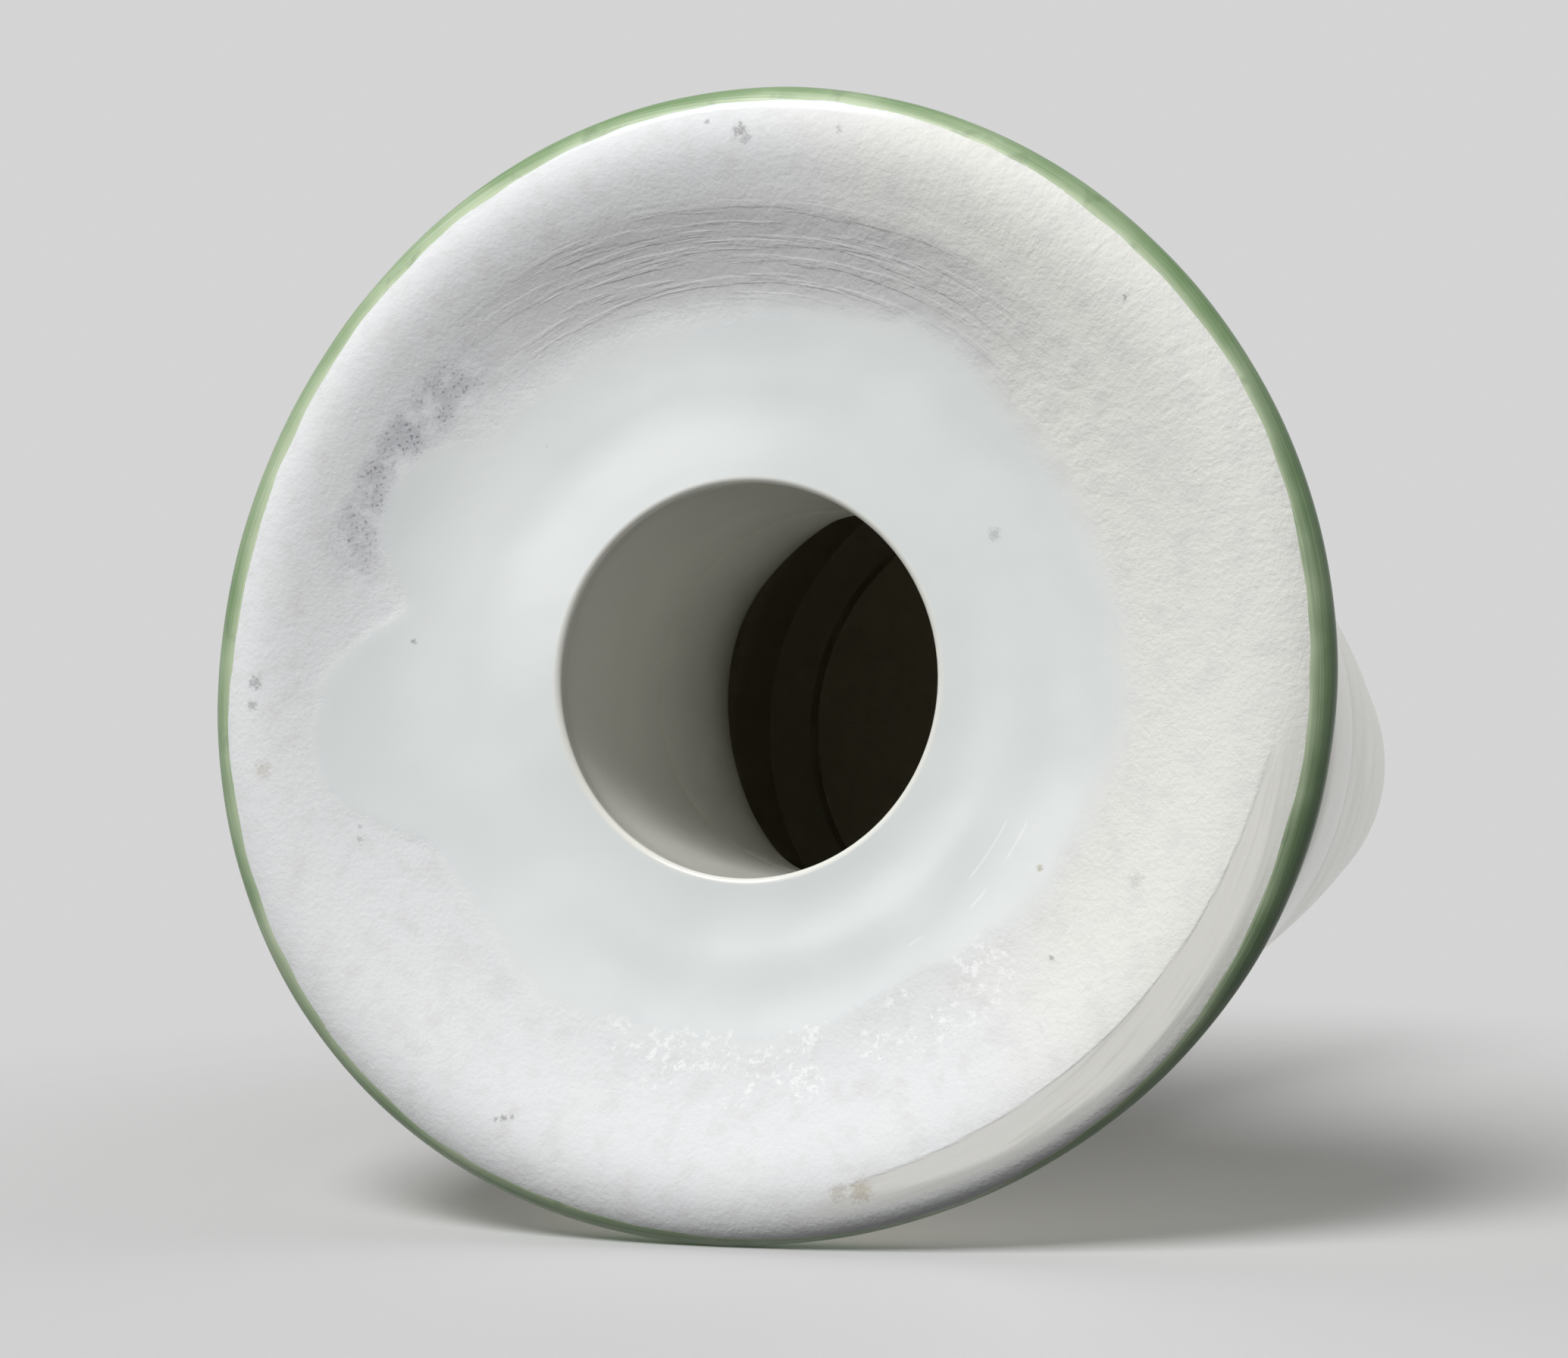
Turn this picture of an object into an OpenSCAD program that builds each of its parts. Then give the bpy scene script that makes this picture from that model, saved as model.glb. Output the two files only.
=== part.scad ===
// Porcelain vase on a spreading foot: a hollow body of turned and cast pieces,
// lapped and luted together, with an enamel line on the foot's edge and on the lip.
// Millimetres. The vase stands on the plane z = 0, with its axis on Z.

/* [Foot] */
// Radius of the foot at its outermost edge
foot_r = 40; // [36:0.5:46]
// Thickness of the foot's rounded edge
edge_t = 3.6; // [3:0.1:5]
// Height of the edge's outermost line
edge_low = 2; // [1.6:0.1:2.4]
// Width of the long rounding under the edge
edge_under_w = 2.7; // [2:0.1:3.5]
// Width of the flat ring that the vase stands on
ring_w = 1.4; // [1:0.1:2.5]
// Radius at which the dish under the foot levels out
dish_r = 24.5; // [22:0.5:27]
// Depth of the dish at that radius
dish_depth = 3.4; // [2.4:0.1:4]
// Further rise of the dish from there to the lip of the hole
dish_rise = 0.7; // [0.2:0.1:1.2]
// Radius of the hole through the foot
hole_r = 14; // [11:0.5:16]
// Radius of the rounded lip of that hole
hole_lip_r = 1; // [0.6:0.1:2.6]
// Height at which the top of the foot runs into the waist
waist_z = 23; // [20:0.5:28]
// Height of the bend that carries the foot's top into the waist
foot_sweep = 13; // [9:0.5:15]
// Reach of the nearly level stretch of the foot's top, in from the edge
foot_level = 11; // [8:0.5:13]
// Rise of that stretch
foot_level_rise = 2.4; // [1.5:0.1:3]

/* [Body] */
// Thickness of the body's wall
wall = 3.6; // [3:0.1:4.5]
// Radius of the belly
belly_r = 31; // [28:0.5:34]
// Length of the straight stem above the waist
stem_h = 13; // [10:1:18]
// Height of the belly
belly_z = 88; // [82:1:96]
// Fullness of the shoulder: 1 is a straight taper, and a larger number keeps the belly's width for longer
shoulder_power = 1.3; // [1.1:0.1:3]
// Height of the seam between the lower and the upper body
body_seam_z = 108; // [102:1:120]

/* [Water well] */
// Thickness of the floor of the water well
floor_t = 3.2; // [2.5:0.1:5]
// Distance of the floor's top below the body's seam
floor_drop = 2; // [1:0.5:5]
// Width of the ledge that carries the floor
ledge_w = 3; // [2:0.1:5]
// Height of the ledge's upright inner face
ledge_h = 2.5; // [1.5:0.1:5]

/* [Neck and lip] */
// Height of the vase
height = 220; // [200:1:240]
// Height of the neck, from its seam to the top of the lip
neck_h = 20; // [16:0.5:28]
// Radius of the shoulder at the neck's seam
neck_base_r = 23.1; // [20:0.1:25]
// Radius at the middle of the lip's rounding
lip_mid_r = 20; // [18:0.1:23]
// Thickness of the rounded lip
lip_t = 3; // [2.4:0.1:4]
// Lean of the lip in degrees, outwards above zero and inwards below it
lip_lean = -5; // [-10:1:30]

/* [Joints] */
// Height of the lap where one piece stands inside the next
lap_h = 4; // [2.5:0.5:6]
// Thickness of the layer of luting slip in each joint
slip_t = 0.3; // [0.2:0.05:0.5]

/* [Edge lines] */
// Thickness of the enamel lines
line_t = 0.2; // [0.1:0.05:0.3]
// How far the foot's line turns under the edge, in degrees from level
foot_line_under = 55; // [40:5:75]
// How far the foot's line turns over the edge, in degrees from level
foot_line_over = 75; // [45:5:80]
// Share of the lip's rounding that the mouth's line covers, in degrees each way from its top
mouth_line_half = 60; // [40:5:75]

/* [Hidden] */

// Fineness of the turned surfaces, of the long curves and of the small roundings
facets = 96;
curve_steps = 22;
arc_steps = 10;

// Colours of the fired pieces
glaze_white = [0.90, 0.91, 0.89];
bare_white = [0.86, 0.84, 0.80];
slip_white = [0.82, 0.80, 0.75];
enamel_green = [0.36, 0.50, 0.30];

waist_r = hole_r + wall;
stem_top_z = waist_z + stem_h;
neck_seam_z = height - neck_h;
lip_mid = [lip_mid_r, height - lip_t / 2];

// The two roundings of the foot's edge, a long one below and a short one above
under_size = [edge_under_w, edge_low];
under_mid = [foot_r - edge_under_w, edge_low];
over_size = [edge_t - edge_low, edge_t - edge_low];
over_mid = [foot_r - over_size[0], edge_low];
ring_inner_r = under_mid[0] - ring_w;

// The floor of the well and the seat that carries it
floor_top_z = body_seam_z - floor_drop;
floor_under_z = floor_top_z - floor_t;
ledge_top_z = floor_under_z - slip_t;
ledge_under_z = ledge_top_z - ledge_h;
ledge_root_z = ledge_under_z - ledge_w;
seat_r = outer_r(floor_top_z) - wall;

// Radius of the outside of the body at a height, from the waist up to the neck's seam.
// A smooth swell leads from the stem to the belly, and a power curve closes the shoulder.
function swell(t) = t * t * (3 - 2 * t);
function outer_r(z) = z < belly_z
    ? waist_r + (belly_r - waist_r) * swell(max(0, z - stem_top_z) / (belly_z - stem_top_z))
    : belly_r - (belly_r - neck_base_r) * pow((z - belly_z) / (neck_seam_z - belly_z), shoulder_power);

// Lean of the shoulder at the neck's seam, as a change of radius for each step up
neck_lean = -(belly_r - neck_base_r) * shoulder_power / (neck_seam_z - belly_z);

// A line along the body's wall, set in from the outside by a distance
function wall_line(inset, z0, z1) = [
    for (i = [0 : curve_steps])
        let (z = z0 + (z1 - z0) * i / curve_steps)
            [outer_r(z) - inset, z]
];

function bezier(p0, p1, p2, p3) = [
    for (i = [0 : curve_steps])
        let (t = i / curve_steps, s = 1 - t)
            s * s * s * p0 + 3 * s * s * t * p1 + 3 * s * t * t * p2 + t * t * t * p3
];

// An arc of an oval with the given half-width and half-height
function oval(centre, size, a0, a1) = [
    for (i = [0 : arc_steps])
        let (a = a0 + (a1 - a0) * i / arc_steps)
            centre + [size[0] * cos(a), size[1] * sin(a)]
];
function arc(centre, r, a0, a1) = oval(centre, [r, r], a0, a1);

function flipped(line) = [for (i = [len(line) - 1 : -1 : 0]) line[i]];

// Half-lap joint at a seam. The piece below keeps the inner half of the wall as a spigot,
// the piece above keeps the outer half as a skirt, and the slip lies between them.
// Both lines run from the outside of the wall to its inside.
function lap_below(z) = [
    [outer_r(z), z],
    [outer_r(z) - wall / 2 - slip_t / 2, z],
    [outer_r(z + lap_h) - wall / 2 - slip_t / 2, z + lap_h],
    [outer_r(z + lap_h) - wall, z + lap_h]
];
function lap_above(z) = [
    [outer_r(z + slip_t), z + slip_t],
    [outer_r(z) - wall / 2 + slip_t / 2, z + slip_t],
    [outer_r(z + lap_h) - wall / 2 + slip_t / 2, z + lap_h + slip_t],
    [outer_r(z + lap_h + slip_t) - wall, z + lap_h + slip_t]
];
function lap_slip(z) = concat(lap_below(z), flipped(lap_above(z)));

// Underside of the foot, from the standing ring in to the top of the hole's lip.
// The dish turns up sharply from the ring, levels out slowly and then turns into the hole.
function dish_line() =
    let (
        turn_r = hole_r + hole_lip_r,
        turn_z = dish_depth + dish_rise + hole_lip_r,
        fall = dish_rise / (dish_r - turn_r),
        span = ring_inner_r - dish_r,
        rise_start = 0.28 * span,
        level_end = 0.5 * span
    )
    concat(
        bezier([ring_inner_r, 0], [ring_inner_r - rise_start, 0],
               [dish_r + level_end, dish_depth - fall * level_end], [dish_r, dish_depth]),
        arc([turn_r, turn_z], hole_lip_r, 270, 180)
    );

// The part of the foot's edge that the enamel line covers, set in by a distance
function line_face(inset) = concat(
    oval(under_mid, under_size - [inset, inset], -foot_line_under, 0),
    oval(over_mid, over_size - [inset, inset], 0, foot_line_over)
);

// Rounded edge of the foot, with a shallow seat for the enamel line
function foot_edge() = concat(
    oval(under_mid, under_size, -90, -foot_line_under),
    line_face(line_t),
    oval(over_mid, over_size, foot_line_over, 90)
);

// Top of the foot, from the edge up to the waist
function foot_top() = bezier(
    [over_mid[0], edge_t],
    [over_mid[0] - foot_level, edge_t + foot_level_rise],
    [waist_r, waist_z - foot_sweep],
    [waist_r, waist_z]
);

// Ledge inside the lower body and the turned seat above it, from below upwards
function ledge_line() = [
    [seat_r - ledge_w, ledge_under_z],
    [seat_r - ledge_w, ledge_top_z],
    [seat_r, ledge_top_z]
];

// Where the neck's outer and inner faces run into the lip's rounding
function lip_start() = lip_mid + lip_t / 2 * [cos(lip_lean), -sin(lip_lean)];
function lip_end() = lip_mid - lip_t / 2 * [cos(lip_lean), -sin(lip_lean)];

// A neck face: it leaves the shoulder along its lean and meets the lip along the lip's lean
function neck_face(foot_point, lip_point) =
    let (reach = (lip_point[1] - foot_point[1]) / 3)
    bezier(foot_point, foot_point + reach * [neck_lean, 1],
           lip_point - reach * [tan(lip_lean), 1], lip_point);

// Rounding of the lip, with a shallow seat for the enamel line, from outside to inside
function lip_rounding() = concat(
    arc(lip_mid, lip_t / 2, -lip_lean, 90 - mouth_line_half),
    arc(lip_mid, lip_t / 2 - line_t, 90 - mouth_line_half, 90 + mouth_line_half),
    arc(lip_mid, lip_t / 2, 90 + mouth_line_half, 180 - lip_lean)
);

module turned(outline) {
    rotate_extrude($fn = facets) polygon(outline);
}

// Spreading foot with its dished underside, the hole and the spigot for the body
module foot() {
    color(glaze_white) turned(concat(
        foot_edge(), foot_top(), lap_below(waist_z), flipped(dish_line())));
}

// Enamel line round the foot's edge
module foot_edge_line() {
    color(enamel_green) turned(concat(line_face(0), flipped(line_face(line_t))));
}

// Slip between the foot and the lower body
module foot_luting() {
    color(slip_white) turned(lap_slip(waist_z));
}

// Lower body: the straight stem, the swell up to the seam above the belly, and the ledge for the floor
module lower_body() {
    color(glaze_white) turned(concat(
        flipped(lap_above(waist_z)),
        wall_line(0, stem_top_z, body_seam_z),
        lap_below(body_seam_z),
        wall_line(wall, body_seam_z + lap_h, floor_top_z),
        flipped(ledge_line()),
        wall_line(wall, ledge_root_z, stem_top_z)));
}

// Floor that closes the water well
module well_floor() {
    color(bare_white) translate([0, 0, floor_under_z])
        cylinder(h = floor_t, r = seat_r - slip_t, $fn = facets);
}

// Slip under the floor and round its edge
module floor_luting() {
    color(slip_white) turned([
        [seat_r - ledge_w, ledge_top_z],
        [seat_r, ledge_top_z],
        [seat_r, floor_top_z],
        [seat_r - slip_t, floor_top_z],
        [seat_r - slip_t, floor_under_z],
        [seat_r - ledge_w, floor_under_z]]);
}

// Slip between the lower and the upper body
module body_luting() {
    color(slip_white) turned(lap_slip(body_seam_z));
}

// Upper body, from its seam over the shoulder to the neck
module upper_body() {
    color(glaze_white) turned(concat(
        flipped(lap_above(body_seam_z)),
        wall_line(0, body_seam_z + slip_t, neck_seam_z),
        lap_below(neck_seam_z),
        wall_line(wall, neck_seam_z + lap_h, body_seam_z + lap_h + slip_t)));
}

// Slip between the shoulder and the neck
module neck_luting() {
    color(slip_white) turned(lap_slip(neck_seam_z));
}

// Neck with its plain rounded lip
module neck() {
    skirt = lap_above(neck_seam_z);
    color(glaze_white) turned(concat(
        flipped(skirt),
        neck_face(skirt[0], lip_start()),
        lip_rounding(),
        flipped(neck_face(skirt[len(skirt) - 1], lip_end()))));
}

// Enamel line on the lip
module mouth_edge_line() {
    color(enamel_green) turned(concat(
        arc(lip_mid, lip_t / 2, 90 - mouth_line_half, 90 + mouth_line_half),
        arc(lip_mid, lip_t / 2 - line_t, 90 + mouth_line_half, 90 - mouth_line_half)));
}

foot();
foot_edge_line();
foot_luting();
lower_body();
well_floor();
floor_luting();
body_luting();
upper_body();
neck_luting();
neck();
mouth_edge_line();
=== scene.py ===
# %% [markdown]
# # A porcelain vase, seen from under its foot
# The vase lies on its side with its foot towards the camera. What shows is the dished underside of the
# foot: a pool of gloss glaze round the hole, a ring of bare, matt porcelain outside it and a brushed green
# line on the edge. The CAD frame gives the sizes and the place of every piece. This script gives each piece
# a finer turned shape and its fired finish.

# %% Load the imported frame
import math

import bmesh
import bpy
import numpy as np
from mathutils import Matrix, Vector, noise


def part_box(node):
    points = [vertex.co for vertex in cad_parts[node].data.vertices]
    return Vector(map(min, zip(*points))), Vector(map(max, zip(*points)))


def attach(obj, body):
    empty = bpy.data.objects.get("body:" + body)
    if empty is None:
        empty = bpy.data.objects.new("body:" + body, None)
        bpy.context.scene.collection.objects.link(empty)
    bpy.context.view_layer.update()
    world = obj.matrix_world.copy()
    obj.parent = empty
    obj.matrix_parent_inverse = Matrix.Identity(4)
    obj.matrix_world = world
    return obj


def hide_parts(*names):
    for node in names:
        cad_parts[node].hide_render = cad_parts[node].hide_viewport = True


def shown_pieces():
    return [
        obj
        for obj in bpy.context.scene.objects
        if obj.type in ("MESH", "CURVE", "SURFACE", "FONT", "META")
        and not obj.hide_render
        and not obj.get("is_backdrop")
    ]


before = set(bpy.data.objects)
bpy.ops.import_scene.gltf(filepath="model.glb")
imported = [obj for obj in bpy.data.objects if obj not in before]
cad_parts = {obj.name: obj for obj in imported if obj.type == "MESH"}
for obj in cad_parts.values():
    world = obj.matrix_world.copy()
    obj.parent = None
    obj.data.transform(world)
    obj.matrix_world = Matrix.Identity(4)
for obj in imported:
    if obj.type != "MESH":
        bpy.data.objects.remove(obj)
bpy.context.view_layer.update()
MM = 0.001

# %% [markdown]
# ## The photograph's camera
# The foot's outline, the hole and the sliver of body behind the foot were fitted together to find where the
# camera stood: about 20 cm below the foot, off to one side. In the frame of the standing vase the picture's
# up is -Y, its right is +X, and the camera looks up along +Z. The lens is written for a 36 mm wide sensor.

# %% Camera
eye = Vector((65.54, 12.30, -195.87)) * MM
aim = Vector((4.62, 0.51, 0.0)) * MM
picture_up = Vector((0.017, -0.998, -0.055))

camera = bpy.data.objects.new("camera", bpy.data.cameras.new("camera"))
bpy.context.scene.collection.objects.link(camera)
backwards = (eye - aim).normalized()
rightwards = picture_up.cross(backwards).normalized()
upwards = backwards.cross(rightwards)
camera.matrix_world = Matrix.Translation(eye) @ Matrix((rightwards, upwards, backwards)).transposed().to_4x4()
camera.data.sensor_fit = "HORIZONTAL"
camera.data.sensor_width = 36.0
camera.data.lens = 69.6
camera.data.clip_start = 0.01
bpy.context.scene.camera = camera
bpy.context.scene.view_settings.view_transform = "Standard"
print("camera is", round((eye - aim).length / MM), "mm from the foot")

# %% [markdown]
# ## Helpers for node trees
# Shaders and Geometry Nodes are both node trees, so a few small helpers serve both. They add a node, do a
# sum, multiply masks, make a soft step from 0 to 1, make noise and lay colours over each other. They keep
# each later cell down to what it is about.

# %% Node helpers
def plug(tree, socket, value):
    """Links a socket, or sets the constant on it."""
    if isinstance(value, bpy.types.NodeSocket):
        tree.links.new(value, socket)
    else:
        socket.default_value = value


def give(tree, node, **inputs):
    """Links or sets a node's inputs by name."""
    for name, value in inputs.items():
        plug(tree, node.inputs[name.replace("_", " ")], value)


def place(tree, kind, settings=None, **inputs):
    """Adds a node. Settings are its own switches, and the rest are its inputs by name."""
    made = tree.nodes.new(kind)
    for name, value in (settings or {}).items():
        setattr(made, name, value)
    give(tree, made, **inputs)
    return made


def plug_all(tree, sockets, values):
    for socket, value in zip(sockets, values):
        plug(tree, socket, value)


def calc(tree, operation, *values):
    made = place(tree, "ShaderNodeMath", {"operation": operation})
    plug_all(tree, made.inputs, values)
    return made.outputs[0]


def vector(tree, operation, *values, gives="Vector"):
    made = place(tree, "ShaderNodeVectorMath", {"operation": operation})
    plug_all(tree, made.inputs, values)
    return made.outputs[gives]


def times(tree, first, *others):
    """The product of several masks or strengths."""
    for other in others:
        first = calc(tree, "MULTIPLY", first, other)
    return first


def rest_of(tree, mask):
    """What a mask leaves over, up to 1."""
    return calc(tree, "SUBTRACT", 1.0, mask)


def fade(tree, value, start, end):
    """0 at start and 1 at end, with a soft step between them."""
    made = place(tree, "ShaderNodeMapRange", {"interpolation_type": "SMOOTHSTEP"})
    plug_all(tree, made.inputs, (value, start, end))
    return made.outputs[0]


def noisy(tree, spot, scale, **inputs):
    """Cloudy values round a half."""
    return place(tree, "ShaderNodeTexNoise", Vector=spot, Scale=scale, **inputs).outputs[0]


def blend(tree, share, first, second):
    """A colour between two colours."""
    made = place(tree, "ShaderNodeMix", {"data_type": "RGBA"})
    plug(tree, made.inputs["Factor"], share)
    plug_all(tree, [s for s in made.inputs if s.type == "RGBA"], (first, second))
    return next(s for s in made.outputs if s.type == "RGBA")


def layered(tree, colour, *layers):
    """Lays colours over a colour, each with its strength and its mask."""
    for strength, mask, over in layers:
        colour = blend(tree, times(tree, mask, strength), colour, over)
    return colour


def paint(red, green, blue):
    """A colour as a paint chart gives it, 0 to 255, turned into the shader's linear light."""
    def linear(c):
        c /= 255
        return c / 12.92 if c <= 0.04045 else ((c + 0.055) / 1.055) ** 2.4
    return (linear(red), linear(green), linear(blue), 1.0)


def interface(tree, inputs, outputs):
    """Gives a tree its named sockets and returns its two end nodes."""
    for name, kind, start in inputs:
        socket = tree.interface.new_socket(name, in_out="INPUT", socket_type="NodeSocket" + kind)
        if start is not None:
            socket.default_value = start
    for name, kind in outputs:
        tree.interface.new_socket(name, in_out="OUTPUT", socket_type="NodeSocket" + kind)
    return place(tree, "NodeGroupInput"), place(tree, "NodeGroupOutput")

print("helpers ready")

# %% [markdown]
# ## The wall's lines
# Every piece is turned, so each one is an outline in radius and height. The main heights come from the
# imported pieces' boxes. The stem swells into the belly along a smooth step and the shoulder closes along a
# power curve, with the same numbers that the CAD solids have.

# %% Sizes and the body's curve, in millimetres
wall, lap_h, slip_t = 3.6, 4.0, 0.3
foot_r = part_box("foot_edge_line")[1].x / MM
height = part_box("mouth_edge_line")[1].z / MM
waist_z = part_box("foot")[1].z / MM - lap_h
body_seam_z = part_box("lower_body")[1].z / MM - lap_h
neck_seam_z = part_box("upper_body")[1].z / MM - lap_h
belly_r, belly_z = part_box("lower_body")[1].x / MM, 88.0
hole_r = 14.0
waist_r, stem_top_z = hole_r + wall, waist_z + 13.0
neck_base_r, shoulder_power = 23.1, 1.3


def outer_r(z):
    if z < belly_z:
        t = max(0.0, z - stem_top_z) / (belly_z - stem_top_z)
        return waist_r + (belly_r - waist_r) * t * t * (3 - 2 * t)
    t = (z - belly_z) / (neck_seam_z - belly_z)
    return belly_r - (belly_r - neck_base_r) * t ** shoulder_power


def wall_line(inset, z0, z1, steps):
    return [(outer_r(z) - inset, z) for z in np.linspace(z0, z1, steps)]


def straight(p0, p1, steps):
    return [tuple(p) for p in np.linspace(p0, p1, steps)]


def bezier(p0, p1, p2, p3, steps):
    p0, p1, p2, p3 = map(np.array, (p0, p1, p2, p3))
    return [tuple((1 - t) ** 3 * p0 + 3 * (1 - t) ** 2 * t * p1 + 3 * (1 - t) * t * t * p2 + t ** 3 * p3)
            for t in np.linspace(0, 1, steps)]


def oval(centre, size, a0, a1, steps):
    return [(centre[0] + size[0] * math.cos(a), centre[1] + size[1] * math.sin(a))
            for a in np.radians(np.linspace(a0, a1, steps))]


def joined(*lines):
    """One outline from several, without doubled points."""
    points = []
    for line in lines:
        points += [p for p in line if not points or math.dist(p, points[-1]) > 1e-4]
    if math.dist(points[0], points[-1]) < 1e-4:
        points.pop()
    return points

print(f"foot radius {foot_r:.2f}, height {height:.2f}, seams at {waist_z}, {body_seam_z} and {neck_seam_z}")

# %% [markdown]
# ## The half-lap joints
# Before firing, each piece stands inside the next one: the lower piece keeps the inner half of the wall as
# a spigot, the upper one keeps the outer half as a skirt, and a film of slip lies between them. Plain rings
# that butt together would look the same from outside, but these are the joints that the CAD solids have.

# %% Lap lines, from the outside of the wall to its inside
def lap_below(z):
    mid = wall / 2 + slip_t / 2
    return [(outer_r(z), z), (outer_r(z) - mid, z), (outer_r(z + lap_h) - mid, z + lap_h),
            (outer_r(z + lap_h) - wall, z + lap_h)]


def lap_above(z):
    mid = wall / 2 - slip_t / 2
    top = z + lap_h + slip_t
    return [(outer_r(z + slip_t), z + slip_t), (outer_r(z) - mid, z + slip_t),
            (outer_r(z + lap_h) - mid, top), (outer_r(top) - wall, top)]

print("laps are", lap_h, "mm high with", slip_t, "mm of slip")

# %% [markdown]
# ## Names for the finishes
# The tree that turns the pieces sets their material, so the materials are named now and get their nodes
# further down, where each finish is explained.

# %% Empty materials
finishes = {name: bpy.data.materials.new(name) for name in (
    "foot_porcelain", "stem_glaze", "cream_glaze", "green_enamel", "bare_porcelain", "luting_slip")}
for finish in finishes.values():
    finish.use_nodes = True
    finish.node_tree.nodes.clear()
print("finishes:", ", ".join(finishes))

# %% [markdown]
# ## A lathe in Geometry Nodes
# A potter's wheel turns one outline round an axis. The Spin operator could do that, but a node tree keeps
# the number of segments and the throwing marks as named inputs. A grid has one row for each point of the
# outline and one column for each step of the turn. Each grid point looks up its outline point by row and is
# put at its angle. A slow noise then moves it in or out by a few hundredths of a millimetre, as a hand does.
# Doubled points at the seam are merged, so the turned skin is closed.

# %% The lathe tree
def build_lathe():
    tree = bpy.data.node_groups.new("Turned piece", "GeometryNodeTree")
    start, end = interface(
        tree,
        [("Outline", "Geometry", None), ("Segments", "Int", 288), ("Closed", "Int", 1),
         ("Throwing marks", "Float", 0.00006), ("Mark size", "Float", 60.0), ("Finish", "Material", None)],
        [("Piece", "Geometry")])
    size = place(tree, "GeometryNodeAttributeDomainSize", Geometry=start.outputs["Outline"])
    count = size.outputs["Point Count"]
    columns = calc(tree, "ADD", start.outputs["Segments"], 1)
    grid = place(tree, "GeometryNodeMeshGrid", Size_X=1.0, Size_Y=1.0,
                 Vertices_X=calc(tree, "ADD", count, start.outputs["Closed"]), Vertices_Y=columns)
    index = place(tree, "GeometryNodeInputIndex").outputs[0]
    row = calc(tree, "FLOOR", calc(tree, "DIVIDE", calc(tree, "ADD", index, 0.5), columns))
    column = calc(tree, "SUBTRACT", index, times(tree, row, columns))
    outline_row = calc(tree, "FLOOR", calc(tree, "ADD", calc(tree, "MODULO", row, count), 0.5))
    looked_up = place(tree, "GeometryNodeSampleIndex", {"data_type": "FLOAT_VECTOR", "domain": "POINT"},
                      Geometry=start.outputs["Outline"], Index=outline_row)
    plug(tree, looked_up.inputs["Value"], place(tree, "GeometryNodeInputPosition").outputs[0])
    point = place(tree, "ShaderNodeSeparateXYZ", Vector=looked_up.outputs[0])
    turn = times(tree, calc(tree, "DIVIDE", column, start.outputs["Segments"]), -2 * math.pi)
    across, along = calc(tree, "COSINE", turn), calc(tree, "SINE", turn)

    def spot_at(radius):
        return place(tree, "ShaderNodeCombineXYZ", X=times(tree, radius, across),
                     Y=times(tree, radius, along), Z=point.outputs["Z"]).outputs[0]

    radius = point.outputs["X"]
    marks = noisy(tree, spot_at(radius), start.outputs["Mark size"], Detail=1.0)
    push = times(tree, calc(tree, "SUBTRACT", marks, 0.5), start.outputs["Throwing marks"])
    push = times(tree, push, calc(tree, "GREATER_THAN", radius, 1e-6))
    piece = place(tree, "GeometryNodeSetPosition", Geometry=grid.outputs["Mesh"],
                  Position=spot_at(calc(tree, "ADD", radius, push)))
    for kind, inputs in (("MergeByDistance", {"Distance": 1e-6}), ("SetShadeSmooth", {}),
                         ("RealizeInstances", {}), ("SetMaterial", {"Material": start.outputs["Finish"]})):
        piece = place(tree, "GeometryNode" + kind, Geometry=piece.outputs[0], **inputs)
    give(tree, end, Piece=piece.outputs[0])
    return tree

lathe = build_lathe()
print("lathe has", len(lathe.nodes), "nodes")

# %% [markdown]
# ## Turning a piece on the lathe
# The outline goes in as a chain of points in metres. The evaluated result is made a plain mesh, its normals
# are checked to point outwards, and corners sharper than 35 degrees stay crisp. The piece then stands for
# its CAD solid.

# %% Turn one piece
def settle(mesh):
    """Merges what touches, turns the faces outwards and keeps corners crisp. Returns the enclosed volume."""
    work = bmesh.new()
    work.from_mesh(mesh)
    bmesh.ops.remove_doubles(work, verts=work.verts, dist=1e-7)
    bmesh.ops.recalc_face_normals(work, faces=work.faces)
    volume = work.calc_volume(signed=True)
    if volume < 0:
        bmesh.ops.reverse_faces(work, faces=work.faces)
    work.to_mesh(mesh)
    work.free()
    mesh.shade_smooth()
    mesh.set_sharp_from_angle(angle=math.radians(35))
    return abs(volume)


def finished(name, mesh, slot, *nodes):
    """Puts a mesh in the scene as a piece of the vase, in place of CAD nodes."""
    piece = bpy.data.objects.new(name, mesh)
    bpy.context.scene.collection.objects.link(piece)
    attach(piece, "root")
    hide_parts(*nodes)


def turned(name, outline, finish, segments=256, closed=True):
    """A plain mesh from an outline in millimetres."""
    chain = bpy.data.meshes.new(name + "_outline")
    chain.from_pydata([(r * MM, 0.0, z * MM) for r, z in outline],
                      [(i, i + 1) for i in range(len(outline) - 1)], [])
    blank = bpy.data.objects.new(name + "_blank", chain)
    bpy.context.scene.collection.objects.link(blank)
    modifier = blank.modifiers.new("lathe", "NODES")
    modifier.node_group = lathe
    socket = {item.name: item.identifier for item in lathe.interface.items_tree if item.in_out == "INPUT"}
    modifier[socket["Segments"]] = segments
    modifier[socket["Closed"]] = int(closed)
    modifier[socket["Finish"]] = finishes[finish]
    ready = blank.evaluated_get(bpy.context.evaluated_depsgraph_get())
    mesh = bpy.data.meshes.new_from_object(ready)
    mesh.name = name
    bpy.data.objects.remove(blank)
    bpy.data.meshes.remove(chain)
    volume = settle(mesh)
    print(f"{name}: {len(mesh.polygons)} faces, {volume / MM ** 3:.0f} mm3")
    return mesh


def turned_piece(name, outline, finish, slot, node, **settings):
    finished(name, turned(name, outline, finish, **settings), slot, node)

print("ready to turn pieces in", len(finishes), "finishes")

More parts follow.
